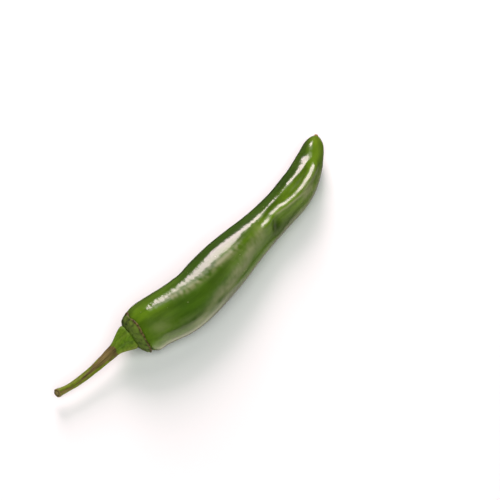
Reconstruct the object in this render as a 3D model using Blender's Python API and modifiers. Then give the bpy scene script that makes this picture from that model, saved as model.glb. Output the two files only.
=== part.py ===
"""A fresh green chilli pepper, as picked, lying on its side: the pod, the calyx that caps it and the stalk.

Metres, +Z up. +X runs from the stalk's cut end towards the pod's tip. The origin is on the surface that
the pepper lies on, under the middle of its box.

Each piece is first made straight along +X, where x is the distance along the pepper's axis from the cut
end of the stalk, and is then bent along one guide curve. Angles go round the axis from the top, +Z,
towards -Y, which is the right-hand side when looking from the stalk to the tip.
"""

import math

import bmesh
import bpy

MM = 0.001

# Distances along the axis from the stalk's cut end, in millimetres.
STALK_END = 29.4
CALYX_START = 29.7
CALYX_RIM = 32.2
POD_START = 30.9
POD_TIP = 128.3

# The bent axis: control points of a cubic curve that starts at the cut end and ends at the tip.
AXIS_POINTS = (
    (-62.2, 9.2, 4.6),
    (-56.2, 6.2, 4.9),
    (-45.2, 5.0, 5.9),
    (-30.5, 4.7, 7.9),
    (-16.1, -2.2, 8.35),
    (0.1, -1.4, 8.3),
    (16.1, -0.4, 7.0),
    (31.6, -0.5, 6.4),
    (48.3, 0.9, 5.5),
    (62.0, 8.8, 6.6),
)
AXIS_SAMPLES = 48

# Distance along the axis and radius of the skin there, in millimetres, without lobes or dents.
POD_PROFILE = (
    (POD_START, 0.0),
    (31.0, 2.6),
    (31.3, 4.4),
    (31.8, 5.45),
    (32.6, 6.3),
    (33.8, 7.15),
    (35.5, 7.85),
    (38.0, 8.2),
    (43.0, 8.5),
    (57.0, 8.65),
    (69.0, 8.3),
    (80.0, 7.2),
    (90.0, 6.35),
    (98.0, 6.05),
    (104.0, 6.15),
    (110.0, 5.9),
    (116.0, 5.1),
    (121.0, 4.05),
    (124.6, 3.1),
    (126.8, 1.9),
    (POD_TIP, 0.0),
)
POD_SIDES = 16
POD_RINGS = 32

# The pod's chambers show as three soft lobes, strongest at the shoulder.
LOBE_COUNT = 3
LOBE_HEIGHT = 0.16
SHOULDER_LOBE_HEIGHT = 0.22
SHOULDER_X = 37.0
SHOULDER_LENGTH = 6.0
LOBE_TURN = 12.0
LOBE_START = 32.5
LOBE_RISE = 4.0

# Hollows in the skin: place on the axis, angle, half length, half width in degrees and depth.
# A negative depth is a swelling.
POD_HOLLOWS = (
    (104.0, 16.0, 13.0, 17.0, 0.45),
    (103.0, 46.0, 11.0, 15.0, -0.22),
    (90.5, 52.0, 4.0, 20.0, 0.60),
    (55.5, -75.0, 3.0, 26.0, 0.28),
    (35.0, 110.0, 3.0, 40.0, -0.50),
    (41.0, 112.0, 3.5, 32.0, 0.30),
    (48.5, 88.0, 6.0, 40.0, -0.20),
    (74.0, 30.0, 7.0, 26.0, -0.15),
    (68.0, -95.0, 9.0, 30.0, -0.15),
    (96.0, -140.0, 7.0, 35.0, 0.30),
    (80.0, 150.0, 8.0, 30.0, 0.22),
    (112.0, -70.0, 5.0, 30.0, 0.18),
)

# The calyx: distance along the axis and radius of its outer face.
CALYX_PROFILE = (
    (CALYX_START, 0.0),
    (CALYX_START, 2.2),
    (29.75, 3.9),
    (30.0, 4.85),
    (30.5, 5.7),
    (31.25, 6.45),
    (CALYX_RIM, 7.05),
)
CALYX_SIDES = 25
CALYX_RINGS = 6
CALYX_THICKNESS = 0.45
SEPAL_COUNT = 5
SEPAL_TURN = 20.0
SEPAL_RIB = 0.18
SEPAL_TOOTH = 0.3
TOOTH_SPREAD = 0.8
CRINKLE_COUNT = 11
CRINKLE = 0.08
CALYX_SWELL_ANGLE = 110.0
CALYX_SWELL_WIDTH = 42.0
CALYX_SWELL = 0.45

# The stalk: distance along the axis and radius, from the cut end to the flared foot.
STALK_PROFILE = (
    (0.0, 0.0),
    (0.0, 0.8),
    (0.15, 1.1),
    (0.9, 1.25),
    (2.6, 1.1),
    (6.0, 1.08),
    (12.0, 1.25),
    (17.0, 1.5),
    (21.0, 1.68),
    (23.6, 1.85),
    (25.4, 2.35),
    (27.2, 3.2),
    (28.6, 4.0),
    (STALK_END, 4.15),
    (STALK_END, 3.3),
    (STALK_END, 0.0),
)
STALK_SIDES = 15
STALK_RINGS = 24
STALK_RIDGES = 5
STALK_RIDGE_HEIGHT = 0.10
FOOT_RIDGE_HEIGHT = 0.28
FOOT_X = 27.0
FOOT_LENGTH = 2.4

# What the pod's underside loses where it lies on the surface.
REST_CUTTER = (0.2, 0.08, 0.02)


def clear_scene():
    """Removes every object, so that the file holds the pepper alone."""
    for scene_object in list(bpy.data.objects):
        bpy.data.objects.remove(scene_object, do_unlink=True)


def new_collection(name):
    """Adds a collection to the scene."""
    collection = bpy.data.collections.new(name)
    bpy.context.scene.collection.children.link(collection)
    return collection


def surface_finish(name, colour, roughness):
    """A Principled material with one colour and roughness; nothing on a pepper is metal."""
    material = bpy.data.materials.new(name)
    material.use_nodes = True
    shader = material.node_tree.nodes["Principled BSDF"]
    shader.inputs["Base Color"].default_value = (*colour, 1.0)
    shader.inputs["Roughness"].default_value = roughness
    shader.inputs["Metallic"].default_value = 0.0
    return material


def along(profile, share):
    """The point at a share, 0 to 1, of a profile's own length, on a smooth curve through its stations."""
    steps = [math.dist(a, b) for a, b in zip(profile, profile[1:])]
    wanted = share * sum(steps)
    last = len(steps) - 1
    index = 0
    while index < last and wanted > steps[index]:
        wanted -= steps[index]
        index += 1
    part = min(wanted / steps[index], 1.0)
    before = profile[max(index - 1, 0)]
    start, end = profile[index], profile[index + 1]
    after = profile[min(index + 2, last + 1)]
    into = steps[max(index - 1, 0)] + steps[index]
    out_of = steps[index] + steps[min(index + 1, last)]
    point = []
    for axis in range(2):
        slope_in = (end[axis] - before[axis]) / into * steps[index]
        slope_out = (after[axis] - start[axis]) / out_of * steps[index]
        point.append(
            (2 * part**3 - 3 * part**2 + 1) * start[axis]
            + (part**3 - 2 * part**2 + part) * slope_in
            + (3 * part**2 - 2 * part**3) * end[axis]
            + (part**3 - part**2) * slope_out
        )
    return point[0], max(point[1], 0.0)


def bump(distance, reach):
    """A smooth hump, 1 at its middle and almost 0 at two reaches away."""
    return math.exp(-((distance / reach) ** 2))


def turn_between(angle, centre):
    """The turn from a centre to an angle, in degrees, from -180 to 180."""
    return (angle - centre + 180.0) % 360.0 - 180.0


def pod_section(x, radius, angle):
    """Gives a round pod its lobes, hollows and swellings."""
    fade = min(radius / 5.0, 1.0) * max(0.0, min((x - LOBE_START) / LOBE_RISE, 1.0))
    height = LOBE_HEIGHT + SHOULDER_LOBE_HEIGHT * bump(x - SHOULDER_X, SHOULDER_LENGTH)
    radius += fade * height * math.cos(math.radians(LOBE_COUNT * (angle - LOBE_TURN)))
    for place, side, half_length, half_width, depth in POD_HOLLOWS:
        near = bump(x - place, half_length) * bump(turn_between(angle, side), half_width)
        radius -= fade * depth * near
    return x, radius


def calyx_section(x, radius, angle):
    """Gives the calyx a rib and a blunt tooth for each sepal, finer crinkles and one fuller side."""
    share = max(radius - 3.9, 0.0) / (CALYX_PROFILE[-1][1] - 3.9)
    sepal = math.cos(math.radians(SEPAL_COUNT * (angle - SEPAL_TURN)))
    crinkle = math.sin(math.radians(CRINKLE_COUNT * angle))
    radius += SEPAL_RIB * sepal * math.sin(math.pi * min(share, 1.0)) + CRINKLE * crinkle * share
    radius += CALYX_SWELL * share * bump(turn_between(angle, CALYX_SWELL_ANGLE), CALYX_SWELL_WIDTH)
    reach = SEPAL_TOOTH * share**2 * (0.35 + 0.65 * sepal)
    return x + reach, radius + TOOTH_SPREAD * reach


def stalk_section(x, radius, angle):
    """Gives the stalk its ridges, which grow where the foot spreads onto the calyx."""
    height = STALK_RIDGE_HEIGHT + FOOT_RIDGE_HEIGHT * bump(x - FOOT_X, FOOT_LENGTH)
    ridge = math.cos(math.radians(STALK_RIDGES * (angle - SEPAL_TURN)))
    return x, radius + min(radius, 1.0) * height * ridge


def ball_cage(name, profile, sides, rings, section, whole=True):
    """A UV sphere whose rings are moved to the stations of a profile along +X.

    The cage is a little larger than its form, because subdividing it draws it in. When it isn't whole,
    the ball's second half goes, which leaves an open cap.
    """
    shape = bmesh.new()
    bmesh.ops.create_uvsphere(shape, u_segments=sides, v_segments=rings if whole else 2 * rings, radius=1.0)
    if not whole:
        below = [vertex for vertex in shape.verts if vertex.co.z < -1e-4]
        bmesh.ops.delete(shape, geom=below, context="VERTS")
    gain = 3.0 / (2.0 + math.cos(2.0 * math.pi / sides))
    for vertex in shape.verts:
        latitude = math.acos(max(-1.0, min(1.0, vertex.co.z))) / math.pi
        share = latitude if whole else min(2.0 * latitude, 1.0)
        angle = math.degrees(math.atan2(vertex.co.y, vertex.co.x))
        x, radius = section(*along(profile, share), angle)
        if abs(share) < 1e-6 or (whole and share > 1.0 - 1e-6):
            radius = 0.0
        vertex.co.x = x * MM
        vertex.co.y = -radius * gain * math.sin(math.radians(angle)) * MM
        vertex.co.z = radius * gain * math.cos(math.radians(angle)) * MM
    # Laying the ball's axis along +X mirrors it, so its faces are turned to point out again.
    bmesh.ops.reverse_faces(shape, faces=shape.faces)
    mesh = bpy.data.meshes.new(name)
    shape.to_mesh(mesh)
    shape.free()
    mesh.shade_smooth()
    return bpy.data.objects.new(name, mesh)


def subdivide(scene_object):
    """One level of Subdivision Surface, the same in a render."""
    modifier = scene_object.modifiers.new("Subdivision", "SUBSURF")
    modifier.levels = 1
    modifier.render_levels = 1


def bend(scene_object, guide):
    """Bends a straight piece along the guide curve."""
    modifier = scene_object.modifiers.new("Bend", "CURVE")
    modifier.object = guide
    modifier.deform_axis = "POS_X"


def axis_guide(helpers):
    """The pepper's bent axis, a guide that isn't part of it."""
    curve = bpy.data.curves.new("axis_guide", "CURVE")
    curve.dimensions = "3D"
    curve.twist_mode = "Z_UP"
    curve.resolution_u = AXIS_SAMPLES
    spline = curve.splines.new("NURBS")
    spline.points.add(len(AXIS_POINTS) - 1)
    for point, place in zip(spline.points, AXIS_POINTS):
        point.co = (*(value * MM for value in place), 1.0)
    spline.order_u = 4
    spline.use_endpoint_u = True
    spline.resolution_u = AXIS_SAMPLES
    guide = bpy.data.objects.new("axis_guide", curve)
    guide.hide_render = True
    guide.display_type = "WIRE"
    helpers.objects.link(guide)
    return guide


def rest_cutter(helpers):
    """A block under the surface, which takes the small flats that the pod lies on."""
    shape = bmesh.new()
    bmesh.ops.create_cube(shape, size=1.0)
    length, width, height = REST_CUTTER
    bmesh.ops.scale(shape, vec=(length, width, height), verts=shape.verts)
    bmesh.ops.translate(shape, vec=(0.0, 0.0, -height / 2.0), verts=shape.verts)
    mesh = bpy.data.meshes.new("rest_cutter")
    shape.to_mesh(mesh)
    shape.free()
    cutter = bpy.data.objects.new("rest_cutter", mesh)
    cutter.hide_render = True
    cutter.display_type = "WIRE"
    helpers.objects.link(cutter)
    return cutter


def make_pod(parts, guide, cutter):
    """The fleshy pod, one body from the end that the calyx hides to the tip."""
    pod = ball_cage("pod", POD_PROFILE, POD_SIDES, POD_RINGS, pod_section)
    pod.data.materials.append(surface_finish("pod_skin", (0.075, 0.15, 0.012), 0.22))
    parts.objects.link(pod)
    subdivide(pod)
    bend(pod, guide)
    rest = pod.modifiers.new("Rest", "BOOLEAN")
    rest.operation = "DIFFERENCE"
    rest.object = cutter
    return pod


def make_calyx(parts, guide):
    """The calyx, a thin ribbed cap on the pod's base, open towards the pod."""
    calyx = ball_cage("calyx", CALYX_PROFILE, CALYX_SIDES, CALYX_RINGS, calyx_section, whole=False)
    calyx.data.materials.append(surface_finish("calyx_green", (0.07, 0.115, 0.022), 0.5))
    parts.objects.link(calyx)
    wall = calyx.modifiers.new("Wall", "SOLIDIFY")
    wall.thickness = CALYX_THICKNESS * MM
    wall.offset = -1.0
    subdivide(calyx)
    bend(calyx, guide)
    return calyx


def make_stalk(parts, guide):
    """The stalk, ridged and cut off at one end, with a flared foot at the other."""
    stalk = ball_cage("stalk", STALK_PROFILE, STALK_SIDES, STALK_RINGS, stalk_section)
    stalk.data.materials.append(surface_finish("stalk_green", (0.14, 0.18, 0.035), 0.55))
    parts.objects.link(stalk)
    subdivide(stalk)
    bend(stalk, guide)
    return stalk


def main():
    """Makes the pepper."""
    clear_scene()
    parts = new_collection("chilli_pepper")
    helpers = new_collection("helpers")
    guide = axis_guide(helpers)
    cutter = rest_cutter(helpers)
    make_pod(parts, guide, cutter)
    make_calyx(parts, guide)
    make_stalk(parts, guide)


main()
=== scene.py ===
"""A fresh green chilli pepper lying on a pale table in soft studio light, seen from above its stalk.

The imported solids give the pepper's size and place. Each of its pieces is modelled here again with a fine
skin: straight along +X first, where x is the distance along the pepper's axis from the cut end of the
stalk, and then bent along the same guide curve as the solids. Angles go round the axis from the top, +Z,
towards -Y, which is the right-hand side when looking from the stalk to the tip. Sizes in the classes are
in millimetres and angles in degrees, and the scene is in metres.
"""

import logging
import math
from collections.abc import Sequence
from dataclasses import dataclass, field, replace
from enum import Enum
from functools import partial
from typing import Any

import bpy
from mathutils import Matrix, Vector, noise

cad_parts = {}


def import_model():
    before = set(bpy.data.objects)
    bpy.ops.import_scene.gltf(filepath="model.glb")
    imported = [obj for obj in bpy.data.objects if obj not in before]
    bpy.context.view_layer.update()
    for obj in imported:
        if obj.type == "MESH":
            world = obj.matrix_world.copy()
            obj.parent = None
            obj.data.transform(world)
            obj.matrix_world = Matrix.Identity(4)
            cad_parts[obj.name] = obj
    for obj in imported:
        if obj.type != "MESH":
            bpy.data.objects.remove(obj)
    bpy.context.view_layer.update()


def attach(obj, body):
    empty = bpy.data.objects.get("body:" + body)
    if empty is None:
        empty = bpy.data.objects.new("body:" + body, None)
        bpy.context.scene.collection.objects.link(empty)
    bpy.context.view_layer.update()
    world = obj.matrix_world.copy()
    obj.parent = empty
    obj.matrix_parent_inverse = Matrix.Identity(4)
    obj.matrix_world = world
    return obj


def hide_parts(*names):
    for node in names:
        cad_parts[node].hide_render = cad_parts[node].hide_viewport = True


MM = 0.001
BODY = "root"
# The furthest and the least, in millimetres, that one push moves a skin.
PUSH_LIMIT = 2.0
PUSH_LEAST = 1e-5
# The attributes that keep a piece's places before it is bent, and the marks on its skin, painted shade and
# painted reflections among them.
STRAIGHT = "straight"
MARKS = "marks"
# An area light's face shines as its power over this many times its area.
AREA_LIGHT_POWER = 4.0
LOG = logging.getLogger("chilli_pepper")

Point = tuple[float, float]
Place = tuple[float, float, float]
Settings = dict[str | int, Any]
Tree = bpy.types.NodeTree
Socket = bpy.types.NodeSocket
Source = bpy.types.Node | Socket


class Way(Enum):
    """The ways in which a skin is pushed."""

    OUT = "NORMAL"
    ALONG = "X"
    SIDEWAYS = "Y"
    UP = "Z"


class Node(Enum):
    """The kinds of node that the finishes and the surroundings are made of."""

    ATTRIBUTE = "ShaderNodeAttribute"
    BUMP = "ShaderNodeBump"
    CELLS = "ShaderNodeTexVoronoi"
    JOIN = "ShaderNodeCombineXYZ"
    MAPPING = "ShaderNodeMapping"
    MATH = "ShaderNodeMath"
    MIX = "ShaderNodeMixRGB"
    NOISE = "ShaderNodeTexNoise"
    RAMP = "ShaderNodeValToRGB"
    RANGE = "ShaderNodeMapRange"
    SPLIT = "ShaderNodeSeparateXYZ"
    VECTOR_MATH = "ShaderNodeVectorMath"
    VIEW = "ShaderNodeTexCoord"


def linear(colour: str) -> tuple[float, float, float, float]:
    """Turns an sRGB hex colour into the linear colour that a shader takes.

    Args:
        colour: six hex digits after a hash, such as "#48631c".

    Returns:
        Linear red, green and blue, and an alpha of 1.
    """
    values = [int(colour[start : start + 2], 16) / 255.0 for start in (1, 3, 5)]
    red, green, blue = ((v / 12.92) if v <= 0.04045 else ((v + 0.055) / 1.055) ** 2.4 for v in values)
    return red, green, blue, 1.0


def join(tree: Tree, source: Source, target: Socket) -> None:
    """Feeds an input from a socket, or from a node's first output."""
    tree.links.new(source.outputs[0] if isinstance(source, bpy.types.Node) else source, target)


def add_node(tree: Tree, kind: Node, settings: Settings, **links: Source) -> bpy.types.Node:
    """Adds a node with its settings and what feeds it.

    Args:
        tree: the node tree of a material or of the world.
        kind: the kind of node.
        settings: values by property name, or by an input's name or number, and a ramp's stops as pairs of
            position and hex colour.
        links: sockets, or nodes whose first output is taken, by input name, with _ for a space; in0, in1
            and so on name an input by number.

    Returns:
        The new node.
    """
    node = tree.nodes.new(kind.value)
    for name, value in settings.items():
        if name == "stops":
            ramp = node.color_ramp.elements
            while len(ramp) < len(value):
                ramp.new(1.0)
            for stop, (position, colour) in zip(ramp, value):
                stop.position = position
                stop.color = linear(colour)
        elif isinstance(name, str) and hasattr(node, name):
            setattr(node, name, value)
        else:
            node.inputs[name].default_value = value
    for name, source in links.items():
        target = int(name[2:]) if name[:2] == "in" and name[2:].isdigit() else name.replace("_", " ")
        join(tree, source, node.inputs[target])
    return node


def per_metre(size: float) -> float:
    """Gives the scale of a pattern whose features have a size in millimetres."""
    return 1.0 / (size * MM)


def span(start: float, end: float) -> Settings:
    """Gives the settings that turn a value at the start to 0 and one at the end to 1."""
    return {"From Min": start, "From Max": end}


def bump(distance: float, reach: float) -> float:
    """Gives a smooth hump, 1 at its middle and almost 0 at two reaches away."""
    return math.exp(-((distance / reach) ** 2))


def turn_between(angle: float, centre: float) -> float:
    """Gives the turn from a centre to an angle, in degrees, from -180 to 180."""
    return (angle - centre + 180.0) % 360.0 - 180.0


def clamp(value: float, low: float = 0.0, high: float = 1.0) -> float:
    """Holds a value between two limits."""
    return max(low, min(value, high))


def towards(azimuth: float, elevation: float) -> Vector:
    """Gives the unit vector at an azimuth from +X towards +Y and a height above the horizon."""
    turn, rise = math.radians(azimuth), math.radians(elevation)
    return Vector((math.cos(turn) * math.cos(rise), math.sin(turn) * math.cos(rise), math.sin(rise)))


def ring_place(x: float, radius: float, angle: float) -> Vector:
    """Gives the point at a distance along the axis, a radius and an angle, for a pattern to be read at."""
    turn = math.radians(angle)
    return Vector((x, radius * math.sin(turn), radius * math.cos(turn)))


def along_path(path: tuple[Point, ...], x: float) -> float:
    """Reads a path that joins pairs of values by smooth steps.

    Args:
        path: pairs of x and value, in the order of x.
        x: where the path is read.

    Returns:
        The value at x, and the first or the last value beyond the path's ends.
    """
    for (start_x, start), (end_x, end) in zip(path, path[1:]):
        if x <= end_x:
            share = clamp((x - start_x) / (end_x - start_x))
            return start + (end - start) * share * share * (3.0 - 2.0 * share)
    return path[-1][1]


@dataclass(frozen=True)
class Spot:
    """A place on the skin of a straight piece."""

    x: float
    radius: float
    angle: float

    def cell(self, length: float, width: float) -> Vector:
        """Gives the place in a pattern whose features are this long and this wide."""
        return ring_place(self.x / length, self.radius / width, self.angle)

    def arc(self, angle: float) -> float:
        """Gives the distance round the skin from an angle, in millimetres."""
        return math.radians(turn_between(self.angle, angle)) * self.radius


@dataclass(frozen=True)
class Unevenness:
    """An irregular pattern: its features' length and width, and how high or how dark they are."""

    length: float
    width: float
    amount: float

    def at(self, spot: Spot) -> float:
        """Gives its amount, either way, at a place."""
        return self.amount * noise.noise(spot.cell(self.length, self.width))


@dataclass(frozen=True)
class Side:
    """A soft part of the way round a piece: its middle, half its width, and how high or how dark it is."""

    angle: float
    half_width: float
    amount: float

    def at(self, angle: float) -> float:
        """Gives its amount, whole at its middle, at an angle."""
        return self.amount * bump(turn_between(angle, self.angle), self.half_width)


@dataclass(frozen=True)
class Oval:
    """A soft oval on the skin: its middle, half its length and width, and how deep or how dark it is."""

    x: float
    angle: float
    half_length: float
    half_width: float
    amount: float

    def at(self, spot: Spot) -> float:
        """Gives its amount, whole at its middle, at a place."""
        across = bump(turn_between(spot.angle, self.angle), self.half_width)
        return self.amount * bump(spot.x - self.x, self.half_length) * across


@dataclass(frozen=True)
class Crease:
    """A narrow crease: its middle, half its length and width and its depth, and its turn off the axis."""

    x: float
    angle: float
    half_length: float
    half_width: float
    depth: float
    turn: float

    def share(self, spot: Spot, spread: float = 1.0) -> float:
        """Finds how far into the crease a place lies.

        Args:
            spot: the place on the straight piece.
            spread: how many times wider than the crease the share reaches.

        Returns:
            1 at its middle and almost 0 well outside it.
        """
        along_axis, round_axis = spot.x - self.x, spot.arc(self.angle)
        cos_turn, sin_turn = math.cos(math.radians(self.turn)), math.sin(math.radians(self.turn))
        lengthwise = along_axis * cos_turn + round_axis * sin_turn
        across = round_axis * cos_turn - along_axis * sin_turn
        return bump(lengthwise, self.half_length) * bump(across, spread * self.half_width)


@dataclass(frozen=True)
class Band:
    """A broken band on the skin: the angles that it follows, how strong it is on the way and half its width.

    It has an even share all over, and patches and grain add to it or take from it.
    """

    path: tuple[Point, ...]
    strength: tuple[Point, ...]
    half_width: float
    even: float
    patches: float
    grains: float

    def at(self, spot: Spot, patch: float, grain: float) -> float:
        """Finds the band's share at a place.

        Args:
            spot: the place on the straight piece.
            patch: the patches there, either way from 0.
            grain: the grain there, either way from 0.

        Returns:
            The share, from 0 to 1.
        """
        broken = clamp(self.even + self.patches * patch + self.grains * grain)
        off_middle = turn_between(spot.angle, along_path(self.path, spot.x))
        return bump(off_middle, self.half_width) * broken * along_path(self.strength, spot.x)


@dataclass(frozen=True)
class Outline:
    """The half outline of a turned form: distance along the axis and radius.

    The curve through the stations is smooth.
    """

    stations: tuple[Point, ...]
    least_radius: float = 0.05

    def point(self, share: float) -> Point:
        """Finds the point at a share of the outline's own length.

        Args:
            share: 0 at the first station, 1 at the last.

        Returns:
            The distance along the axis and the radius.
        """
        steps = [math.dist(a, b) for a, b in zip(self.stations, self.stations[1:])]
        wanted = share * sum(steps)
        last = len(steps) - 1
        index = 0
        while index < last and wanted > steps[index]:
            wanted -= steps[index]
            index += 1
        part = min(wanted / steps[index], 1.0)
        before = self.stations[max(index - 1, 0)]
        start, end = self.stations[index], self.stations[index + 1]
        after = self.stations[min(index + 2, last + 1)]
        into = steps[max(index - 1, 0)] + steps[index]
        out_of = steps[index] + steps[min(index + 1, last)]
        found = []
        for axis in range(2):
            slope_in = (end[axis] - before[axis]) / into * steps[index]
            slope_out = (after[axis] - start[axis]) / out_of * steps[index]
            found.append(
                (2 * part**3 - 3 * part**2 + 1) * start[axis]
                + (part**3 - 2 * part**2 + part) * slope_in
                + (3 * part**2 - 2 * part**3) * end[axis]
                + (part**3 - part**2) * slope_out
            )
        return found[0], max(found[1], self.least_radius)


@dataclass
class Guide:
    """The pepper's bent axis, the same curve as in the solids' source."""

    points: tuple[Place, ...] = (
        (-62.2, 9.2, 4.6),
        (-56.2, 6.2, 4.9),
        (-45.2, 5.0, 5.9),
        (-30.5, 4.7, 7.9),
        (-16.1, -2.2, 8.35),
        (0.1, -1.4, 8.3),
        (16.1, -0.4, 7.0),
        (31.6, -0.5, 6.4),
        (48.3, 0.9, 5.5),
        (62.0, 8.8, 6.6),
    )
    order: int = 4
    samples: int = 48
    curve: bpy.types.Object | None = field(default=None, repr=False)

    def draw(self) -> None:
        """Adds the guide curve to the scene."""
        data = bpy.data.curves.new("axis_guide", "CURVE")
        data.dimensions = "3D"
        data.twist_mode = "Z_UP"
        data.resolution_u = self.samples
        spline = data.splines.new("NURBS")
        spline.points.add(len(self.points) - 1)
        for point, place in zip(spline.points, self.points):
            point.co = (*(value * MM for value in place), 1.0)
        spline.order_u = self.order
        spline.use_endpoint_u = True
        spline.resolution_u = self.samples
        self.curve = bpy.data.objects.new("axis_guide", data)
        bpy.context.scene.collection.objects.link(self.curve)

    def bend(self, piece: bpy.types.Object) -> None:
        """Bends a straight piece along the guide and keeps its straight places as an attribute.

        Args:
            piece: a piece modelled along +X.
        """
        mesh = piece.data
        places = [value for vertex in mesh.vertices for value in vertex.co]
        mesh.attributes.new(STRAIGHT, "FLOAT_VECTOR", "POINT").data.foreach_set("vector", places)
        modifier = piece.modifiers.new("Bend", "CURVE")
        modifier.object = self.curve
        modifier.deform_axis = "POS_X"
        apply(piece, modifier)

    def remove(self) -> None:
        """Takes the guide out of the scene once every piece is bent."""
        bpy.data.objects.remove(self.curve, do_unlink=True)


def pick(piece: bpy.types.Object) -> None:
    """Makes a piece the only selected and active object.

    Args:
        piece: the piece to work on next.
    """
    bpy.ops.object.select_all(action="DESELECT")
    piece.select_set(True)
    bpy.context.view_layer.objects.active = piece


def apply(piece: bpy.types.Object, modifier: bpy.types.Modifier) -> None:
    """Applies one modifier of a piece."""
    pick(piece)
    bpy.ops.object.modifier_apply(modifier=modifier.name)


def subdivide(piece: bpy.types.Object, levels: int) -> None:
    """Smooths a piece with a Subdivision Surface and applies it.

    Args:
        piece: the piece.
        levels: how often each face is split.
    """
    modifier = piece.modifiers.new("Subdivision", "SUBSURF")
    modifier.levels = levels
    modifier.render_levels = levels
    apply(piece, modifier)


def spots(piece: bpy.types.Object) -> list[Spot]:
    """Finds where the vertices of a straight piece lie.

    Args:
        piece: a piece modelled along +X.

    Returns:
        A spot for each vertex, in their order.
    """
    found = []
    for vertex in piece.data.vertices:
        x, y, z = vertex.co / MM
        found.append(Spot(x, math.hypot(y, z), math.degrees(math.atan2(-y, z))))
    return found


def push(piece: bpy.types.Object, way: Way, distances: Sequence[float]) -> None:
    """Pushes a skin by painted weights with Displace, first where it goes forth, then where it goes back.

    Args:
        piece: the piece.
        way: the way in which it goes.
        distances: how far each vertex goes, in millimetres, up to PUSH_LIMIT either way.
    """
    for sense in (1.0, -1.0):
        group = piece.vertex_groups.new(name="push")
        for index, distance in enumerate(distances):
            if distance * sense > PUSH_LEAST:
                group.add([index], min(distance * sense / PUSH_LIMIT, 1.0), "REPLACE")
        modifier = piece.modifiers.new("Push", "DISPLACE")
        modifier.direction = way.value
        modifier.vertex_group = group.name
        modifier.mid_level = 0.0
        modifier.strength = sense * PUSH_LIMIT * MM
        apply(piece, modifier)
        piece.vertex_groups.clear()


@dataclass
class Turned:
    """A form drawn out along +X ring by ring, then pushed into shape, smoothed, given its relief and bent."""

    name: str
    slot: str
    replaced: str
    outline: Outline
    sides: int
    rings: int
    levels: int = 2
    # Within this radius the pushes fade out towards the axis, where the rings close.
    fade_radius: float = 1.0

    def fade(self, spot: Spot) -> float:
        """Gives the share of a push that is left at a place."""
        return min(spot.radius / self.fade_radius, 1.0)

    def move(self, spot: Spot) -> Place:
        """Gives how far a place on the rings is pushed along, sideways and up, in millimetres."""
        return (0.0, 0.0, 0.0)

    def relief(self, spot: Spot) -> float:
        """Gives the height of the skin's relief, in millimetres, at a place."""
        raise NotImplementedError

    def marks(self, spot: Spot) -> Place:
        """Gives the skin's three marks at a place, as shares from 0 to 1, such as painted shade, dry brown
        and painted reflection.
        """
        return (0.0, 0.0, 0.0)

    def draw_out(self) -> bpy.types.Object:
        """Draws the straight form: a circle, extruded and scaled from ring to ring.

        Returns:
            The straight piece, closed, with its faces pointing out.
        """
        # Smoothing draws a ring's corners in, so the rings are drawn that much larger.
        gain = 3.0 / (2.0 + math.cos(2.0 * math.pi / self.sides))
        x, radius = self.outline.point(0.0)
        bpy.ops.object.select_all(action="DESELECT")
        bpy.ops.mesh.primitive_circle_add(
            vertices=self.sides,
            radius=radius * gain * MM,
            fill_type="NGON",
            location=(x * MM, 0.0, 0.0),
            rotation=(0.0, math.pi / 2.0, 0.0),
        )
        piece = bpy.context.object
        piece.name = piece.data.name = self.name
        bpy.ops.object.transform_apply(location=True, rotation=True, scale=True)
        bpy.ops.object.mode_set(mode="EDIT")
        bpy.ops.mesh.select_all(action="SELECT")
        for ring in range(1, self.rings + 1):
            next_x, next_radius = self.outline.point(ring / self.rings)
            bpy.ops.mesh.extrude_region_move(TRANSFORM_OT_translate={"value": ((next_x - x) * MM, 0.0, 0.0)})
            grow = next_radius / radius
            bpy.ops.transform.resize(value=(1.0, grow, grow), center_override=(next_x * MM, 0.0, 0.0))
            x, radius = next_x, next_radius
        bpy.ops.mesh.select_all(action="SELECT")
        bpy.ops.mesh.normals_make_consistent(inside=False)
        bpy.ops.object.mode_set(mode="OBJECT")
        return piece

    def push_rings(self, piece: bpy.types.Object) -> None:
        """Pushes the rings of the straight form into the piece's own shape.

        Args:
            piece: the straight piece, before it is smoothed.
        """
        moves = zip(*(self.move(spot) for spot in spots(piece)))
        for way, distances in zip((Way.ALONG, Way.SIDEWAYS, Way.UP), moves):
            if any(distances):
                push(piece, way, distances)

    def paint(self, piece: bpy.types.Object) -> None:
        """Keeps the marks of the skin as an attribute.

        Args:
            piece: the straight piece, smoothed.
        """
        shares = [clamp(share) for spot in spots(piece) for share in self.marks(spot)]
        piece.data.attributes.new(MARKS, "FLOAT_VECTOR", "POINT").data.foreach_set("vector", shares)

    def settle(self, piece: bpy.types.Object) -> None:
        """Presses flat what would reach below the table.

        Args:
            piece: the bent piece.
        """
        pick(piece)
        bpy.ops.object.mode_set(mode="EDIT")
        bpy.ops.mesh.select_mode(type="VERT")
        bpy.ops.mesh.select_all(action="DESELECT")
        bpy.ops.object.mode_set(mode="OBJECT")
        low = [vertex for vertex in piece.data.vertices if vertex.co.z < 0.0]
        for vertex in low:
            vertex.select = True
        if low:
            bpy.ops.object.mode_set(mode="EDIT")
            bpy.ops.transform.resize(value=(1.0, 1.0, 0.0), center_override=(0.0, 0.0, 0.0))
            bpy.ops.object.mode_set(mode="OBJECT")

    def make(self, guide: Guide) -> bpy.types.Object:
        """Makes the finished piece.

        Args:
            guide: the pepper's bent axis.

        Returns:
            The piece, with its place in its mesh, riding on the pepper's body.
        """
        piece = self.draw_out()
        self.push_rings(piece)
        subdivide(piece, self.levels)
        self.paint(piece)
        push(piece, Way.OUT, [self.relief(spot) for spot in spots(piece)])
        guide.bend(piece)
        self.settle(piece)
        pick(piece)
        bpy.ops.object.shade_smooth()
        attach(piece, BODY)
        if self.replaced:
            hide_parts(self.replaced)
        return piece


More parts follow.
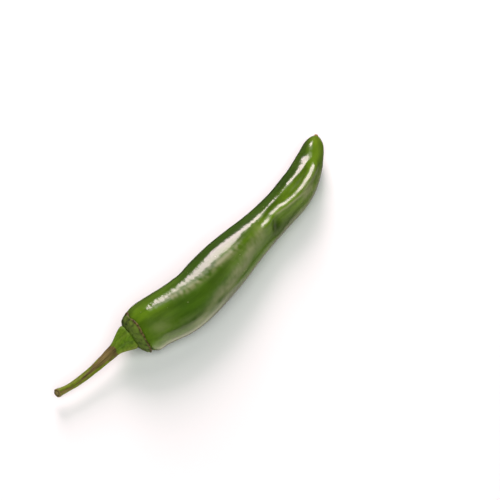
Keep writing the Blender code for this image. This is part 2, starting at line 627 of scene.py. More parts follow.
@dataclass
class Pod(Turned):
    """The fleshy pod, one skin from the end that the calyx hides to the tip."""

    name: str = "pod_skin"
    slot: str = "pod_skin"
    replaced: str = "pod"
    outline: Outline = Outline(
        (
            (30.9, 0.6), (31.0, 2.6), (31.3, 4.4), (31.8, 5.6), (32.6, 6.6), (33.8, 7.35), (35.5, 7.9),
            (38.0, 8.2), (43.0, 8.5), (57.0, 8.65), (69.0, 8.3), (80.0, 7.2), (90.0, 6.35),
            (98.0, 6.05), (104.0, 6.15), (110.0, 5.9), (116.0, 5.1), (121.0, 4.15), (124.6, 3.35),
            (126.7, 2.3), (127.9, 1.1), (128.3, 0.15),
        )
    )
    sides: int = 40
    rings: int = 104
    # The relief starts under the calyx and fades out on the tip's small rings.
    relief_start: float = 32.5
    relief_rise: float = 4.0
    fade_radius: float = 5.0
    # Three low lobes, higher at the shoulder beside the calyx.
    lobe_count: int = 3
    lobe_turn: float = 12.0
    lobe_height: float = 0.16
    shoulder_lobe_height: float = 0.22
    shoulder_x: float = 37.0
    shoulder_length: float = 6.0
    # A negative amount is a swelling.
    hollows: tuple[Oval, ...] = (
        Oval(104.0, 22.0, 12.0, 14.0, 0.30),
        Oval(103.0, 46.0, 11.0, 15.0, -0.22),
        Oval(90.5, 52.0, 4.0, 20.0, 0.60),
        Oval(110.5, 12.0, 6.0, 16.0, -0.32),
        Oval(87.0, -12.0, 5.5, 45.0, 0.68),
        Oval(91.5, -10.0, 5.0, 11.0, -0.25),
        Oval(102.3, -7.0, 6.2, 24.0, -1.18),
        Oval(116.5, -7.0, 3.5, 26.0, 0.42),
        Oval(122.0, -7.0, 3.0, 30.0, -0.92),
        Oval(55.5, -75.0, 3.0, 26.0, 0.28),
        Oval(35.0, 110.0, 3.0, 40.0, -0.50),
        Oval(41.0, 112.0, 3.5, 32.0, 0.30),
        Oval(48.5, 88.0, 6.0, 40.0, -0.20),
        Oval(74.0, 30.0, 7.0, 26.0, -0.15),
        Oval(49.0, -22.0, 6.0, 14.0, -0.22),
        Oval(36.5, -8.0, 5.0, 22.0, -0.30),
        Oval(111.5, -3.0, 4.5, 15.0, 0.12),
        Oval(68.0, -95.0, 9.0, 30.0, -0.15),
        Oval(96.0, -140.0, 7.0, 35.0, 0.30),
        Oval(80.0, 150.0, 8.0, 30.0, 0.22),
        Oval(112.0, -70.0, 5.0, 30.0, 0.18),
    )
    # The sharp ridge on the tip half, by distance and angle and by distance and height, and its trough.
    ridge_path: tuple[Point, ...] = (
        (84.0, 29.0), (88.0, 28.0), (91.0, 22.0), (94.0, 23.0), (97.0, 28.0), (102.0, 32.0),
        (106.0, 34.0), (112.0, 37.0), (118.0, 40.0),
    )
    ridge_rise: tuple[Point, ...] = (
        (82.0, 0.0), (86.0, 0.42), (92.0, 0.48), (97.0, 0.68), (104.0, 0.75), (113.5, 0.75),
        (117.5, 0.0),
    )
    ridge_width: float = 0.98
    trough_share: float = 0.6
    trough_offset: float = 2.0
    # The first is the deep one at the ridge's foot.
    creases: tuple[Crease, ...] = (
        Crease(89.6, 51.0, 2.6, 1.5, 0.48, 112.0),
        Crease(97.0, 44.0, 7.0, 0.60, 0.14, 8.0),
        Crease(90.0, 62.0, 3.5, 1.6, 0.20, 20.0),
        Crease(36.5, 2.0, 3.2, 0.5, 0.06, 78.0),
        Crease(38.6, 12.0, 2.4, 0.5, 0.05, 100.0),
    )
    facets: Unevenness = Unevenness(16.0, 3.6, 0.10)
    dimples: Unevenness = Unevenness(2.6, 2.6, 0.035)
    # Cross ripples, a little higher beside the calyx.
    ripples: Unevenness = Unevenness(1.1, 2.8, 0.012)
    ripple_gain: float = 0.333
    ripple_gain_x: float = 39.0
    ripple_gain_length: float = 7.0
    # The painted shade in the deep crease and on the side below the ridge.
    crease_shade: float = 0.55
    crease_shade_spread: float = 1.3
    shaded_side: Oval = Oval(94.0, 80.0, 9.0, 36.0, 0.75)
    # The painted reflection at the ridge's foot, a pale line, by distance and angle, and where it starts and
    # ends.
    lip_path: tuple[Point, ...] = (
        (91.0, 23.0), (93.6, 27.0), (96.7, 32.0), (100.0, 35.0), (102.6, 39.0), (105.5, 45.0),
    )
    lip_width: float = 0.34
    lip_start: float = 90.5
    lip_rise: float = 1.5
    lip_end: float = 107.0
    lip_fall: float = 5.0
    # The wax bloom, partly the skin's own and partly a painted reflection of the pale table, in a broad band
    # on the camera's side, and a narrower painted haze beside the highlight by the top, both broken.
    patch_length: float = 6.0
    patch_width: float = 2.8
    grain_length: float = 1.1
    grain_width: float = 1.5
    bloom_and_reflection: Band = Band(
        path=(
            (36.0, 42.0), (42.0, 47.0), (49.0, 73.0), (53.0, 73.0), (61.0, 60.0), (69.0, 50.0),
            (78.0, 35.0), (87.0, 24.0), (94.0, 40.0), (104.0, 49.0), (110.0, 54.0), (118.0, 76.0),
        ),
        strength=(
            (33.0, 0.0), (38.0, 0.45), (44.0, 0.20), (50.0, 0.75), (66.0, 1.0), (83.0, 1.0),
            (88.0, 0.0), (101.0, 0.0), (105.0, 0.9), (113.0, 1.0), (119.0, 0.0),
        ),
        half_width=19.0,
        even=0.66,
        patches=1.1,
        grains=0.35,
    )
    painted_highlight_haze: Band = Band(
        path=((43.0, -6.0), (53.0, 4.0), (61.0, 7.0), (69.0, 12.0), (78.0, 16.0)),
        strength=((41.0, 0.0), (47.0, 0.9), (70.0, 1.0), (80.0, 0.0)),
        half_width=8.0,
        even=0.55,
        patches=1.2,
        grains=1.2,
    )

    def marks(self, spot: Spot) -> Place:
        """Finds the marks on the pod's skin.

        Args:
            spot: the place on the straight pod.

        Returns:
            The painted shade, the painted reflection in a pale line at the ridge's foot, and the wax bloom
            with its painted reflection and painted haze.
        """
        shade = self.crease_shade * self.creases[0].share(spot, self.crease_shade_spread)
        painted_lip_reflection = bump(spot.arc(along_path(self.lip_path, spot.x)), self.lip_width)
        painted_lip_reflection *= clamp((spot.x - self.lip_start) / self.lip_rise)
        painted_lip_reflection *= clamp((self.lip_end - spot.x) / self.lip_fall)
        patch = noise.noise(spot.cell(self.patch_length, self.patch_width))
        grain = noise.noise(spot.cell(self.grain_length, self.grain_width))
        bloom_and_reflection = self.bloom_and_reflection.at(spot, patch, grain) + self.painted_highlight_haze.at(spot, patch, grain)
        return (shade + self.shaded_side.at(spot), painted_lip_reflection, bloom_and_reflection)

    def relief(self, spot: Spot) -> float:
        """Adds up the pod's lobes, hollows, ridge, creases, facets, dimples and ripples.

        Args:
            spot: the place on the straight pod.

        Returns:
            The height there.
        """
        shoulder = bump(spot.x - self.shoulder_x, self.shoulder_length)
        lobe = math.cos(math.radians(self.lobe_count * (spot.angle - self.lobe_turn)))
        height = (self.lobe_height + self.shoulder_lobe_height * shoulder) * lobe
        height -= sum(hollow.at(spot) for hollow in self.hollows)
        off_ridge = spot.arc(along_path(self.ridge_path, spot.x))
        ridge = bump(off_ridge, self.ridge_width)
        ridge -= self.trough_share * bump(off_ridge + self.trough_offset, self.ridge_width)
        height += along_path(self.ridge_rise, spot.x) * ridge
        height -= sum(crease.depth * crease.share(spot) for crease in self.creases)
        gain = self.ripple_gain * bump(spot.x - self.ripple_gain_x, self.ripple_gain_length)
        height += self.facets.at(spot) + self.dimples.at(spot) + (1.0 + gain) * self.ripples.at(spot)
        return height * self.fade(spot) * clamp((spot.x - self.relief_start) / self.relief_rise)


@dataclass
class Calyx(Turned):
    """The calyx: a crinkled cap of joined sepals whose corky rim stands off the pod."""

    name: str = "calyx_cap"
    slot: str = "calyx_green"
    replaced: str = "calyx"
    outline: Outline = Outline(
        (
            (29.9, 0.6), (29.7, 2.2), (29.75, 3.9), (30.0, 4.85), (30.5, 5.7), (31.25, 6.45),
            (32.0, 6.95), (32.3, 7.25), (32.62, 7.3), (32.8, 7.05), (32.55, 6.7), (31.6, 5.9),
            (31.1, 4.4), (30.8, 2.6), (30.7, 0.6),
        )
    )
    sides: int = 40
    rings: int = 44
    foot_radius: float = 3.9
    rim_radius: float = 7.05
    # The power of the share that keeps the notch and the waves to the rim.
    rim_power: int = 4
    sepal_count: int = 5
    sepal_turn: float = 20.0
    rib_height: float = 0.18
    # Blunt teeth: how far they reach, the share that the whole rim reaches, and how far they stand out.
    tooth: float = 0.24
    tooth_base: float = 0.35
    tooth_flare: float = 0.8
    notch: Side = Side(-24.0, 7.0, 0.5)
    swell: Side = Side(110.0, 42.0, 0.45)
    tuck: Side = Side(-68.0, 34.0, 0.55)
    crinkles: Unevenness = Unevenness(1.0, 1.0, 0.20)
    rim_waves: Unevenness = Unevenness(1.6, 1.6, 0.24)
    rim_x: float = 32.3
    rim_length: float = 0.6
    # Painted shade in the furrows between the veins, which wander by some degrees, with blots, and painted
    # shade on one side.
    vein_count: int = 15
    vein_wander: float = 14.0
    vein_wander_length: float = 2.5
    furrow_power: int = 3
    furrow_shade: float = 0.35
    blots: tuple[Unevenness, ...] = (Unevenness(1.3, 1.3, 0.5), Unevenness(0.55, 0.55, 0.3))
    painted_shade_side: Side = Side(-60.0, 42.0, 0.4)

    def share(self, radius: float) -> float:
        """Gives 0 at the stalk's foot and 1 at the rim."""
        return clamp((radius - self.foot_radius) / (self.rim_radius - self.foot_radius))

    def sepal(self, angle: float) -> float:
        """Gives 1 at the middle of a sepal and -1 between two."""
        return math.cos(math.radians(self.sepal_count * (angle - self.sepal_turn)))

    def marks(self, spot: Spot) -> Place:
        """Finds the marks on the calyx.

        Args:
            spot: the place on the straight calyx.

        Returns:
            The painted shade of the furrows, the blots and the painted shade on one side, and nothing more.
        """
        wander = noise.noise(ring_place(spot.radius / self.vein_wander_length, 1.0, spot.angle))
        turn = math.radians(self.vein_count * (spot.angle + self.vein_wander * wander))
        furrow = (0.5 + 0.5 * math.cos(turn)) ** self.furrow_power
        blots = sum(blot.at(spot) for blot in self.blots)
        return (self.furrow_shade * furrow + blots + self.painted_shade_side.at(spot.angle), 0.0, 0.0)

    def relief(self, spot: Spot) -> float:
        """Adds up the calyx's ribs, crinkles and uneven rim.

        Args:
            spot: the place on the straight calyx.

        Returns:
            The height there.
        """
        share = self.share(spot.radius)
        height = self.rib_height * self.sepal(spot.angle) * math.sin(math.pi * share)
        height += share * self.crinkles.at(spot)
        at_rim = bump(spot.x - self.rim_x, self.rim_length) * share**self.rim_power
        return height + at_rim * self.rim_waves.at(spot)

    def move(self, spot: Spot) -> Place:
        """Pushes the rim into blunt teeth with one notch, and one side of the cap out and another in.

        Args:
            spot: the place on the straight calyx.

        Returns:
            How far it goes along, sideways and up.
        """
        share = self.share(spot.radius)
        reach = self.tooth * share**2 * (self.tooth_base + (1.0 - self.tooth_base) * self.sepal(spot.angle))
        reach -= self.notch.at(spot.angle) * share**self.rim_power
        fuller = share * (self.swell.at(spot.angle) - self.tuck.at(spot.angle))
        out = (fuller + self.tooth_flare * reach) * self.fade(spot)
        turn = math.radians(spot.angle)
        return (reach, -out * math.sin(turn), out * math.cos(turn))


@dataclass
class Stalk(Turned):
    """The stalk: ridged, cut off at one end, with a flared foot on the calyx at the other."""

    name: str = "stalk_stem"
    slot: str = "stalk_green"
    replaced: str = "stalk"
    outline: Outline = Outline(
        (
            (0.3, 0.15), (0.22, 0.75), (0.0, 1.08), (0.08, 1.3), (0.4, 1.42), (0.95, 1.4), (2.6, 1.16),
            (6.0, 1.08), (12.0, 1.25), (17.0, 1.5), (21.0, 1.75), (23.6, 2.02), (25.4, 2.55),
            (27.2, 3.3), (28.6, 4.0), (29.4, 4.2), (29.75, 4.0), (29.9, 3.3), (29.9, 0.6),
        )
    )
    sides: int = 25
    rings: int = 84
    # The cut leans back at the top and to one side, and the lean fades out along the stalk.
    cut_slant: float = 0.50
    cut_turn: float = 0.35
    cut_hinge: float = 0.9
    cut_reach: float = 2.5
    # Ridges, higher on the foot and lower at the cut.
    ridge_count: int = 5
    ridge_turn: float = 20.0
    ridge_twist: float = 1.1
    ridge_height: float = 0.12
    foot_ridge_height: float = 0.28
    foot_x: float = 27.0
    foot_length: float = 2.4
    ridge_rise: float = 3.0
    ridge_least: float = 0.25
    # Fibres and knobs are drawn as on a thinner stalk, so that they run on over the foot.
    pattern_radius: float = 2.0
    fibres: Unevenness = Unevenness(7.0, 0.5, 0.07)
    knobs: Unevenness = Unevenness(3.2, 2.0, 0.12)
    seen_angle: float = 20.8
    # The brown patch on the seen side: the distance from the cut with its middle and with its half width.
    brown_middle: tuple[Point, ...] = (
        (0.0, 0.2), (3.6, 0.45), (6.8, 0.45), (9.6, 0.2), (12.6, 0.0), (16.0, -0.3), (23.0, -0.3),
    )
    brown_half: tuple[Point, ...] = (
        (0.5, 1.4), (1.6, 0.45), (3.6, 0.35), (6.8, 0.22), (9.6, 0.32), (12.6, 0.5), (16.0, 0.9),
        (19.0, 1.5), (22.6, 1.9), (24.4, -0.6),
    )
    brown_softness: float = 0.35
    fray_length: float = 1.8
    fray_radius: float = 3.0
    fray_height: float = 0.75
    # The far side is mottled brown up to the foot.
    far_length: float = 4.0
    far_contrast: float = 0.9
    far_share: float = 0.6
    far_end: float = 27.0
    far_fade: float = 4.0
    low_edge: Side = Side(72.0, 26.0, 1.0)
    low_edge_fray: float = 0.3

    def marks(self, spot: Spot) -> Place:
        """Finds the marks on the stalk.

        Args:
            spot: the place on the straight stalk.

        Returns:
            The brown patch, frayed along the fibres, the yellower lower edge, and nothing more.
        """
        turned = spot.angle - self.seen_angle
        sideways, facing = math.sin(math.radians(turned)), math.cos(math.radians(turned))
        fray = noise.noise(ring_place(spot.x / self.fray_length, self.fray_radius, turned))
        off_middle = abs(spot.radius * sideways - along_path(self.brown_middle, spot.x))
        inside = along_path(self.brown_half, spot.x) - off_middle + self.fray_height * fray
        mottle = noise.noise(ring_place(spot.x / self.far_length, 1.0, turned))
        far_side = self.far_contrast * mottle + self.far_share
        far_side *= clamp((self.far_end - spot.x) / self.far_fade)
        seen = clamp(0.5 + 2.0 * facing)
        brown = (0.5 + inside / self.brown_softness) * seen + far_side * (1.0 - seen)
        return (brown, self.low_edge.at(turned) + self.low_edge_fray * fray, 0.0)

    def relief(self, spot: Spot) -> float:
        """Adds up the stalk's ridges, fibres and uneven thickness.

        Args:
            spot: the place on the straight stalk.

        Returns:
            The height there.
        """
        twist = self.ridge_twist * (spot.x - self.foot_x)
        ridge = math.cos(math.radians(self.ridge_count * (spot.angle - self.ridge_turn - twist)))
        ridge *= clamp(spot.x / self.ridge_rise, self.ridge_least)
        height = self.ridge_height + self.foot_ridge_height * bump(spot.x - self.foot_x, self.foot_length)
        inner = replace(spot, radius=min(spot.radius, self.pattern_radius))
        rough = self.fibres.at(inner) + self.knobs.at(inner)
        return self.fade(spot) * (height * ridge + rough)

    def move(self, spot: Spot) -> Place:
        """Slants the cut end.

        Args:
            spot: the place on the straight stalk.

        Returns:
            How far it goes along, and nothing sideways or up.
        """
        turn = math.radians(spot.angle)
        right, up = spot.radius * math.sin(turn), spot.radius * math.cos(turn)
        lean = self.cut_slant * (up + self.cut_hinge) + self.cut_turn * (self.cut_hinge + right)
        return (lean * clamp(1.0 - spot.x / self.cut_reach), 0.0, 0.0)


@dataclass
class StyleScar(Turned):
    """The dry brown scar at the tip, where the flower's style fell off."""

    name: str = "style_scar"
    slot: str = "stalk_green"
    replaced: str = ""
    outline: Outline = Outline(
        (
            (127.8, 0.3), (127.9, 0.75), (128.25, 0.65), (128.5, 0.50), (128.75, 0.42), (128.8, 0.25),
            (128.6, 0.08),
        )
    )
    sides: int = 12
    rings: int = 12
    lumps: Unevenness = Unevenness(0.45, 0.45, 0.16)

    def relief(self, spot: Spot) -> float:
        """Gives the scar a withered, lumpy skin."""
        return self.lumps.at(spot)


@dataclass(frozen=True)
class Mottle:
    """An irregular pattern in a finish: its features' length and width, and how detailed and fine it is."""

    length: float
    width: float
    detail: float
    fineness: float = 0.5

    def add(self, tree: Tree, place: Socket) -> bpy.types.Node:
        """Adds the pattern to a material.

        Args:
            tree: the material's node tree.
            place: the places on the straight piece.

        Returns:
            The pattern's height or shade, from 0 to 1.
        """
        scale = (per_metre(self.length), per_metre(self.width), per_metre(self.width))
        cell = add_node(tree, Node.MAPPING, {"Scale": scale}, Vector=place)
        fine = {"Scale": 1.0, "Detail": self.detail, "Roughness": self.fineness}
        return add_node(tree, Node.NOISE, fine, Vector=cell)


@dataclass(frozen=True)
class Finish:
    """A finish, with what all of them share: a name, a roughness and patterns on the straight piece."""

    name: str
    roughness: float

    def constants(self) -> Settings:
        """Gives the shader's values that are the same all over, by input."""
        return {"Roughness": self.roughness}

    def pattern(self, tree: Tree) -> dict[str, Source]:
        """Gives what varies over the surface, by the shader's input that it feeds."""
        return {}

    def straight(self, tree: Tree) -> Socket:
        """Gives the places on the straight piece."""
        return add_node(tree, Node.ATTRIBUTE, {"attribute_name": STRAIGHT}).outputs["Vector"]

    def marks(self, tree: Tree) -> bpy.types.Node:
        """Gives the marks on the skin, split into the three."""
        found = add_node(tree, Node.ATTRIBUTE, {"attribute_name": MARKS}).outputs["Vector"]
        return add_node(tree, Node.SPLIT, {}, Vector=found)

    def material(self) -> bpy.types.Material:
        """Builds the material.

        Returns:
            The material, with its constants on the shader and its patterns linked to it.
        """
        made = bpy.data.materials.new(self.name)
        made.use_nodes = True
        shader = made.node_tree.nodes["Principled BSDF"]
        for name, value in self.constants().items():
            shader.inputs[name].default_value = value
        for name, source in self.pattern(made.node_tree).items():
            join(made.node_tree, source, shader.inputs[name])
        return made


# Cutin and wax over green flesh: a clear, sharp gloss over a deep colour that is barely glossy itself.
@dataclass(frozen=True)
class WaxySkin(Finish):
    """Fresh pepper skin."""

    name: str = "waxy_pepper_skin"
    # The blotches take the roughness from the first value to the second.
    roughness: float = 0.30
    roughest: float = 0.42
    # Colours along the pod on the camera's side and beyond, as shares of the way between these two places;
    # the side beyond is darker, partly its own colour and partly painted shade.
    ramp_start: float = 30.0
    ramp_end: float = 130.0
    near_side: tuple[tuple[float, str], ...] = (
        (0.02, "#608417"), (0.10, "#557515"), (0.17, "#456713"), (0.32, "#4a6c13"), (0.50, "#5e8216"),
        (0.70, "#6f911f"), (0.84, "#5f811a"), (0.97, "#6f9019"),
    )
    far_side: tuple[tuple[float, str], ...] = (
        (0.02, "#5e8216"), (0.12, "#527712"), (0.24, "#40640f"), (0.80, "#34540c"), (0.97, "#48680f"),
    )
    # The two sides meet along the top, over a soft and uneven line.
    far_edge: float = 4.5
    near_edge: float = 0.5
    edge_wander: float = 4.0
    # Long soft streaks, and blotches that also vary the roughness.
    dark_streak: str = "#ccd1bd"
    streaks: Mottle = Mottle(14.286, 3.0303, 4.0, 0.55)
    streak_start: float = 0.62
    streak_full: float = 0.38
    blotches: Mottle = Mottle(9.0909, 9.0909, 3.0)
    # Sparse pale speckles, one to a cell, whose edge and core are shares of the spacing.
    speckle: str = "#a9b07a"
    speckle_spacing: float = 3.0303
    speckle_edge: float = 0.09
    speckle_core: float = 0.05
    speckle_share: float = 0.35
    # The colour of the wax bloom with its painted reflection of the pale table and painted haze beside the
    # highlight.
    bloom_and_reflection: str = "#989a70"
    bloom_and_reflection_share: float = 0.62
    # The colour of the painted reflection in a pale line at the ridge's foot.
    painted_lip_reflection: str = "#98a269"
    painted_lip_reflection_share: float = 0.85
    # The colour of the painted shade in the deep crease and on the side below the ridge.
    crease: str = "#24380b"
    # Fine cross ripples that break up the edges of a highlight.
    ripples: Mottle = Mottle(1.0, 2.0833, 2.0)
    ripple_depth: float = 0.08
    specular: float = 0.06
    ior: float = 1.45
    coat: float = 1.0
    coat_roughness: float = 0.14

    def constants(self) -> Settings:
        """Gives the wax's clear coat and the flesh's low gloss."""
        return {
            "IOR": self.ior,
            "Specular IOR Level": self.specular,
            "Coat Weight": self.coat,
            "Coat Roughness": self.coat_roughness,
        }

    def pattern(self, tree: Tree) -> dict[str, Source]:
        """Lays streaks, speckles, the bloom with its painted reflection, the painted pale line and the
        painted shade over the pod's two sides.

        Args:
            tree: the material's node tree.

        Returns:
            The colour, the roughness and the normals.
        """
        add = partial(add_node, tree)
        place = self.straight(tree)
        split = add(Node.SPLIT, {}, Vector=place)
        marks = self.marks(tree)
        blotches = self.blotches.add(tree, place)
        share = add(Node.RANGE, span(self.ramp_start * MM, self.ramp_end * MM), Value=split.outputs["X"])
        near = add(Node.RAMP, {"stops": self.near_side}, Fac=share)
        far = add(Node.RAMP, {"stops": self.far_side}, Fac=share)
        wander = {"operation": "MULTIPLY_ADD", 1: self.edge_wander * MM}
        uneven = add(Node.MATH, wander, in0=blotches, in2=split.outputs["Y"])
        facing = add(Node.RANGE, span(self.far_edge * MM, self.near_edge * MM), Value=uneven)
        body = add(Node.MIX, {}, in0=facing, in1=far, in2=near)
        streaks = self.streaks.add(tree, place)
        streak_share = add(Node.RANGE, span(self.streak_start, self.streak_full), Value=streaks)
        darken = {"blend_type": "MULTIPLY", 2: linear(self.dark_streak)}
        streaked = add(Node.MIX, darken, in0=streak_share, in1=body)
        cells = add(Node.CELLS, {"Scale": per_metre(self.speckle_spacing)}, Vector=place)
        speckle = span(self.speckle_edge, self.speckle_core) | {"To Max": self.speckle_share}
        speckles = add(Node.RANGE, speckle, Value=cells)
        colour = add(Node.MIX, {2: linear(self.speckle)}, in0=speckles, in1=streaked)
        for tint, most, mark in (
            (self.bloom_and_reflection, self.bloom_and_reflection_share, "Z"),
            (self.painted_lip_reflection, self.painted_lip_reflection_share, "Y"),
            (self.crease, 1.0, "X"),
        ):
            amount = add(Node.MATH, {"operation": "MULTIPLY", 1: most}, in0=marks.outputs[mark])
            colour = add(Node.MIX, {2: linear(tint)}, in0=amount, in1=colour)
        depth = {"Strength": 1.0, "Distance": self.ripple_depth * MM}
        relief = add(Node.BUMP, depth, Height=self.ripples.add(tree, place))
        gloss = add(Node.RANGE, {"To Min": self.roughness, "To Max": self.roughest}, Value=blotches)
        return {"Base Color": colour, "Roughness": gloss, "Normal": relief, "Coat Normal": relief}


# Crinkled leaf green, matt, and corky and brown where its edge has dried: dull beside the pod's gloss.
@dataclass(frozen=True)
class SepalTissue(Finish):
    """Sepal tissue."""

    name: str = "sepal_tissue"
    roughness: float = 0.5
    specular: float = 0.25
    # The deep green stands for the blots and for the painted shade of the furrows and of one side.
    deep: str = "#334316"
    leaf: str = "#637a2a"
    mottle: Mottle = Mottle(1.5385, 1.5385, 4.0)
    mottle_share: float = 0.9
    leaf_start: float = 1.15
    leaf_full: float = 0.45
    # The rim, which starts over a short, ragged distance, with dark specks in its cork.
    cork: str = "#72663a"
    dark_cork: str = "#433a1c"
    rim_start: float = 32.62
    rim_full: float = 32.80
    rim_ragged: float = 1.1
    specks: Mottle = Mottle(0.7143, 0.7143, 2.0)
    cork_start: float = 0.42
    cork_full: float = 0.6
    speck_depth: float = 0.12

    def constants(self) -> Settings:
        """Gives the dull surface of a dry leaf."""
        return {"Roughness": self.roughness, "Specular IOR Level": self.specular}

    def pattern(self, tree: Tree) -> dict[str, Source]:
        """Mottles the green, darkens it with the blots and the painted shade, and turns it to speckled cork
        at the rim.

        Args:
            tree: the material's node tree.

        Returns:
            The colour and the normals.
        """
        add = partial(add_node, tree)
        place = self.straight(tree)
        along = add(Node.SPLIT, {}, Vector=place).outputs["X"]
        shade = self.marks(tree).outputs["X"]
        mottle = self.mottle.add(tree, place)
        mottling = {"operation": "MULTIPLY_ADD", 1: self.mottle_share}
        mottled = add(Node.MATH, mottling, in0=mottle, in2=shade)
        leaf_share = add(Node.RANGE, span(self.leaf_start, self.leaf_full), Value=mottled)
        green = add(Node.MIX, {1: linear(self.deep), 2: linear(self.leaf)}, in0=leaf_share)
        ragged = {"operation": "MULTIPLY_ADD", 1: self.rim_ragged * MM}
        rim = add(Node.MATH, ragged, in0=mottle, in2=along)
        rim_share = add(Node.RANGE, span(self.rim_start * MM, self.rim_full * MM), Value=rim)
        specks = self.specks.add(tree, place)
        cork_share = add(Node.RANGE, span(self.cork_start, self.cork_full), Value=specks)
        brown = add(Node.MIX, {1: linear(self.dark_cork), 2: linear(self.cork)}, in0=cork_share)
        colour = add(Node.MIX, {}, in0=rim_share, in1=green, in2=brown)
        relief = add(Node.BUMP, {"Strength": 1.0, "Distance": self.speck_depth * MM}, Height=specks)
        return {"Base Color": colour, "Normal": relief}


# Green rind over long fibres, brown where it was rubbed or has dried: satin, streaked along its length.
@dataclass(frozen=True)
class FibrousStem(Finish):
    """A fresh woody stem."""

    name: str = "fibrous_stem"
    roughness: float = 0.5
    specular: float = 0.2
    green: str = "#74851f"
    foot: str = "#60831a"
    foot_start: float = 20.0
    foot_full: float = 25.0
    edge: str = "#8f9c3e"
    edge_share: float = 0.7
    brown: str = "#7d6f3c"
    dark_brown: str = "#4b4022"
    fibres: Mottle = Mottle(8.3333, 0.41667, 3.0)
    fibre_depth: float = 0.1
    brown_start: float = 0.35
    brown_full: float = 0.65
    mottle: Mottle = Mottle(1.1111, 1.1111, 3.0)
    streak_start: float = 0.80
    streak_full: float = 1.20
    streak_shade: float = 0.62
    # The cut face: tan pith inside a dark ring, as shares of the way to face_radius.
    pith: str = "#8d7d4c"
    ring: str = "#3d3118"
    pith_share: float = 0.55
    ring_share: float = 0.75
    rind_share: float = 0.95
    face_radius: float = 1.1765
    face_start: float = 1.05
    face_end: float = 1.20

    def constants(self) -> Settings:
        """Gives the satin surface of the rind."""
        return {"Roughness": self.roughness, "Specular IOR Level": self.specular}

    def pattern(self, tree: Tree) -> dict[str, Source]:
        """Streaks the rind along its fibres, lays the brown patch over it and colours the cut face.

        Args:
            tree: the material's node tree.

        Returns:
            The colour and the normals.
        """
        add = partial(add_node, tree)
        place = self.straight(tree)
        split = add(Node.SPLIT, {}, Vector=place)
        marks = self.marks(tree)
        fibres = self.fibres.add(tree, place)
        brown_share = add(Node.RANGE, span(self.brown_start, self.brown_full), Value=fibres)
        brown = add(Node.MIX, {1: linear(self.dark_brown), 2: linear(self.brown)}, in0=brown_share)
        foot_span = span(self.foot_start * MM, self.foot_full * MM)
        foot_share = add(Node.RANGE, foot_span, Value=split.outputs["X"])
        green = add(Node.MIX, {1: linear(self.green), 2: linear(self.foot)}, in0=foot_share)
        edge_share = add(Node.MATH, {"operation": "MULTIPLY", 1: self.edge_share}, in0=marks.outputs["Y"])
        edged = add(Node.MIX, {2: linear(self.edge)}, in0=edge_share, in1=green)
        uneven = add(Node.MATH, {"operation": "ADD"}, in0=fibres, in1=self.mottle.add(tree, place))
        streaking = span(self.streak_start, self.streak_full) | {"To Min": self.streak_shade}
        streak = add(Node.RANGE, streaking, Value=uneven)
        streaked = add(Node.MIX, {"blend_type": "MULTIPLY", 0: 1.0}, in1=edged, in2=streak)
        rind = add(Node.MIX, {}, in0=marks.outputs["X"], in1=streaked, in2=brown)
        flat = add(Node.JOIN, {}, Y=split.outputs["Y"], Z=split.outputs["Z"])
        reach = add(Node.VECTOR_MATH, {"operation": "LENGTH"}, in0=flat).outputs["Value"]
        reach_share = add(Node.MATH, {"operation": "MULTIPLY", 1: per_metre(self.face_radius)}, in0=reach)
        rings = ((self.pith_share, self.pith), (self.ring_share, self.ring), (self.rind_share, self.brown))
        face = add(Node.RAMP, {"stops": ((0.0, self.pith), *rings)}, Fac=reach_share)
        back, aside = ({"operation": "MULTIPLY_ADD", 1: lean} for lean in (-Stalk.cut_slant, Stalk.cut_turn))
        slant = add(Node.MATH, back, in0=split.outputs["Z"], in2=split.outputs["X"])
        level = add(Node.MATH, aside, in0=split.outputs["Y"], in2=slant)
        cut_share = add(Node.RANGE, span(self.face_end * MM, self.face_start * MM), Value=level)
        colour = add(Node.MIX, {}, in0=cut_share, in1=rind, in2=face)
        relief = add(Node.BUMP, {"Strength": 1.0, "Distance": self.fibre_depth * MM}, Height=fibres)
        return {"Base Color": colour, "Normal": relief}


# Withered and quite dry: tan to orange brown, with no gloss.
@dataclass(frozen=True)
class DryScar(Finish):
    """Withered style tissue."""

    name: str = "dry_style_tissue"
    roughness: float = 0.8
    pale: str = "#b98d58"
    dark: str = "#5a3d20"
    lumps: Mottle = Mottle(0.4, 0.4, 3.0)

    def pattern(self, tree: Tree) -> dict[str, Source]:
        """Mottles the scar in the two browns."""
        browns = {1: linear(self.dark), 2: linear(self.pale)}
        return {"Base Color": add_node(tree, Node.MIX, browns, in0=self.lumps.add(tree, self.straight(tree)))}


# A plain laminate table top, matt, so that it shows the pepper's soft shadow and nothing else.
@dataclass(frozen=True)
class PaleTable(Finish):
    """White laminate."""

    name: str = "white_laminate"
    roughness: float = 0.6
    colour: str = "#eff3f1"

    def constants(self) -> Settings:
        """Gives the laminate's even colour and its matt surface."""
        return {"Base Color": linear(self.colour), "Roughness": self.roughness}


@dataclass(frozen=True)
class Softbox:
    """A soft rectangular light that faces the pepper: where it stands, its size and how bright its face is.

    Its distance and size are in metres.
    """

    name: str
    azimuth: float
    elevation: float
    distance: float
    width: float
    height: float
    glow: float
    colour: str = "#ffffff"
    mirrored: bool = True

    def place(self) -> None:
        """Adds the light, turned to the pepper."""
        direction = towards(self.azimuth, self.elevation)
        light = bpy.data.lights.new(self.name, "AREA")
        light.shape = "RECTANGLE"
        light.size = self.width
        light.size_y = self.height
        light.color = linear(self.colour)[:3]
        light.energy = AREA_LIGHT_POWER * self.width * self.height * self.glow
        lamp = bpy.data.objects.new(self.name, light)
        lamp.location = direction * self.distance
        lamp.visible_glossy = self.mirrored
        lamp.rotation_euler = direction.to_track_quat("Z", "Y").to_euler()
        bpy.context.scene.collection.objects.link(lamp)


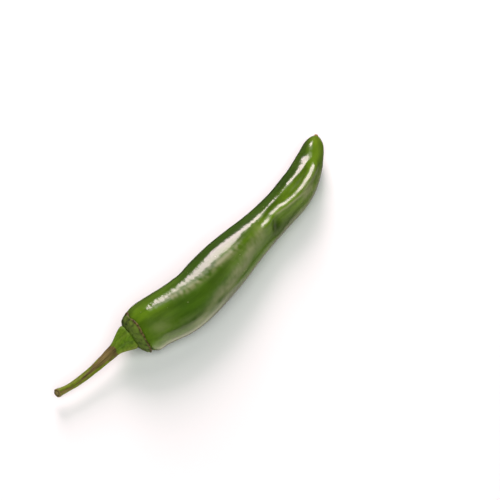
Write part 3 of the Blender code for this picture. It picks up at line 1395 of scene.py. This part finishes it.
@dataclass(frozen=True)
class Panel:
    """A pale, soft-edged area of the surroundings: its middle, its even core and its reach, and its glow."""

    azimuth: float
    elevation: float
    core: float
    reach: float
    glow: float

    def add(self, tree: Tree, view: Socket) -> bpy.types.Node:
        """Adds the panel to the surroundings.

        Args:
            tree: the world's node tree.
            view: the direction that is looked in.

        Returns:
            The panel's glow in that direction.
        """
        middle = {"operation": "DOT_PRODUCT", 1: towards(self.azimuth, self.elevation)}
        nearness = add_node(tree, Node.VECTOR_MATH, middle, in0=view).outputs["Value"]
        fade = span(math.cos(math.radians(self.reach)), math.cos(math.radians(self.core)))
        soft = {"interpolation_type": "SMOOTHSTEP", "To Max": self.glow}
        return add_node(tree, Node.RANGE, fade | soft, Value=nearness)


@dataclass
class Studio:
    """The table, the lights and the camera."""

    azimuth: float = -48.84
    elevation: float = 60.0
    distance: float = 564.7
    target: Place = (14.69, -3.49, 7.53)
    focal_pixels: float = 1764.7
    frame_pixels: float = 500.0
    sensor: float = 36.0
    nearest_seen: float = 10.0
    table_side: float = 4000.0
    surroundings: float = 0.05
    surroundings_colour: str = "#fff1e2"
    lights: tuple[Softbox, ...] = (
        Softbox("key_softbox", 51.0, 31.0, 1.0, 0.46, 0.60, 10.5, "#ffe7ef"),
        Softbox("key_spill", 38.0, 56.0, 1.1, 0.70, 0.30, 2.0, "#fff2f2"),
        Softbox("front_fill", -131.0, 60.0, 1.2, 1.4, 1.2, 2.0, mirrored=False),
    )
    # The gloss mirrors these instead of the table and the front fill.
    panels: tuple[Panel, ...] = (
        Panel(-95.0, -52.0, 18.0, 36.0, 1.5),
        Panel(-53.0, 0.0, 12.0, 34.0, 0.6),
        Panel(-40.0, -66.0, 14.0, 34.0, 0.35),
    )

    def lay_table(self) -> None:
        """Adds the table top under the pepper."""
        bpy.ops.object.select_all(action="DESELECT")
        bpy.ops.mesh.primitive_plane_add(size=self.table_side * MM)
        table = bpy.context.object
        table.name = table.data.name = "table_top"
        table.data.materials.append(PaleTable().material())
        table.visible_glossy = False

    def light(self) -> None:
        """Sets the lights and the dim surroundings."""
        for softbox in self.lights:
            softbox.place()
        world = bpy.data.worlds.new("studio")
        world.use_nodes = True
        tree = world.node_tree
        view = add_node(tree, Node.VIEW, {}).outputs["Generated"]
        first, *others = (panel.add(tree, view) for panel in self.panels)
        glow = add_node(tree, Node.MATH, {"operation": "ADD", 0: self.surroundings}, in1=first)
        for panel_glow in others:
            glow = add_node(tree, Node.MATH, {"operation": "ADD"}, in0=glow, in1=panel_glow)
        background = tree.nodes["Background"]
        background.inputs["Color"].default_value = linear(self.surroundings_colour)
        join(tree, glow, background.inputs["Strength"])
        bpy.context.scene.world = world
        bpy.context.scene.view_settings.view_transform = "Standard"

    def point_camera(self) -> None:
        """Adds the camera, which sees the pepper as the photograph does."""
        back = towards(self.azimuth - 90.0, self.elevation)
        data = bpy.data.cameras.new("camera")
        data.sensor_width = self.sensor
        data.lens = self.focal_pixels * self.sensor / self.frame_pixels
        data.clip_start = self.nearest_seen * MM
        camera = bpy.data.objects.new("camera", data)
        camera.location = (Vector(self.target) + back * self.distance) * MM
        camera.rotation_euler = (math.radians(90.0 - self.elevation), 0.0, math.radians(self.azimuth))
        bpy.context.scene.collection.objects.link(camera)
        bpy.context.scene.camera = camera


def main() -> None:
    """Builds the pepper, its table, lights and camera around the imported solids."""
    logging.basicConfig(level=logging.INFO, format="%(name)s: %(message)s")
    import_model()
    studio = Studio()
    studio.point_camera()
    guide = Guide()
    guide.draw()
    dressed = (
        (Pod(), WaxySkin()),
        (Calyx(), SepalTissue()),
        (Stalk(), FibrousStem()),
        (StyleScar(), DryScar()),
    )
    for form, finish in dressed:
        piece = form.make(guide)
        piece.data.materials.clear()
        piece.data.materials.append(finish.material())
        LOG.info("%s: %d faces of %s", piece.name, len(piece.data.polygons), finish.name)
    guide.remove()
    studio.lay_table()
    studio.light()


if __name__ == "__main__":
    main()
